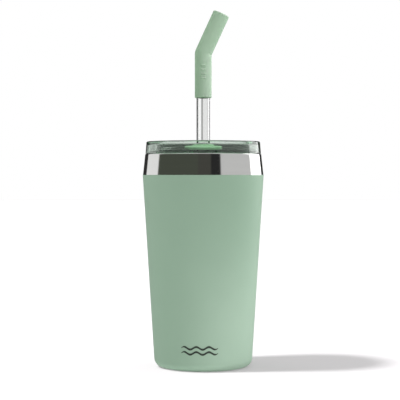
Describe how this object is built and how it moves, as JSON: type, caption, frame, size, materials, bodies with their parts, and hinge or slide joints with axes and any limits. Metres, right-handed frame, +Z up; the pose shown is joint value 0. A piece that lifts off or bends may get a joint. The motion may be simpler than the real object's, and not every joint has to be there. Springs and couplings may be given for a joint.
{
  "type": "insulated tumbler",
  "caption": "Tapered double-wall steel tumbler with a clear press-in lid, a glass straw in a turning silicone seal and a soft bent mouthpiece.",
  "frame": {"origin": "centre of the circle of the foot ring, on the surface the cup stands on", "axes": "+Z up along the cup and the straw, -Y the front, +X the side the mouthpiece leans to"},
  "size_m": [0.09, 0.09, 0.2646],
  "materials": {
    "satin_steel": "polished 18/8 stainless steel, bare band under the lip",
    "liner_steel": "electropolished stainless steel, fine circular brushing",
    "base_steel": "circular brushed stainless steel",
    "sage_coat": "fine matte powder coat, sage green",
    "clear_plastic": "clear glossy moulded copolyester, faint green tint",
    "green_silicone": "matte food-grade silicone, sage green",
    "straw_glass": "clear borosilicate glass, fire-polished ends",
    "seal_glass": "dark glass solder",
    "getter": "matte sintered zirconium alloy"
  },
  "bodies": {
    "vessel": {"outer_shell": "satin_steel", "powder_coat": "sage_coat", "inner_liner": "liner_steel", "base_plate": "liner_steel", "vacuum_seal_bead": "seal_glass", "getter_holder": "liner_steel", "getter_pellet": "getter", "base_cover": "base_steel"},
    "lid": {"lid_shell": "clear_plastic", "lid_seal": "green_silicone"},
    "straw_seal": {"straw_seal": "green_silicone"},
    "straw": {"straw": "straw_glass"},
    "mouthpiece": {"mouthpiece": "green_silicone"}
  },
  "joints": [
    {"name": "lid_lift", "type": "slide", "parent": "vessel", "child": "lid", "axis": [0, 0, 1], "range_m": [0, 0.15]},
    {"name": "straw_turn", "type": "hinge", "parent": "lid", "child": "straw_seal", "pos_m": [0, 0, 0.1593], "axis": [0, 0, 1], "continuous": true},
    {"name": "straw_lift", "type": "slide", "parent": "straw_seal", "child": "straw", "axis": [0, 0, 1], "range_m": [0, 0.158]},
    {"name": "mouthpiece_pull", "type": "slide", "parent": "straw", "child": "mouthpiece", "axis": [0, 0, 1], "range_m": [0, 0.03]}
  ]
}
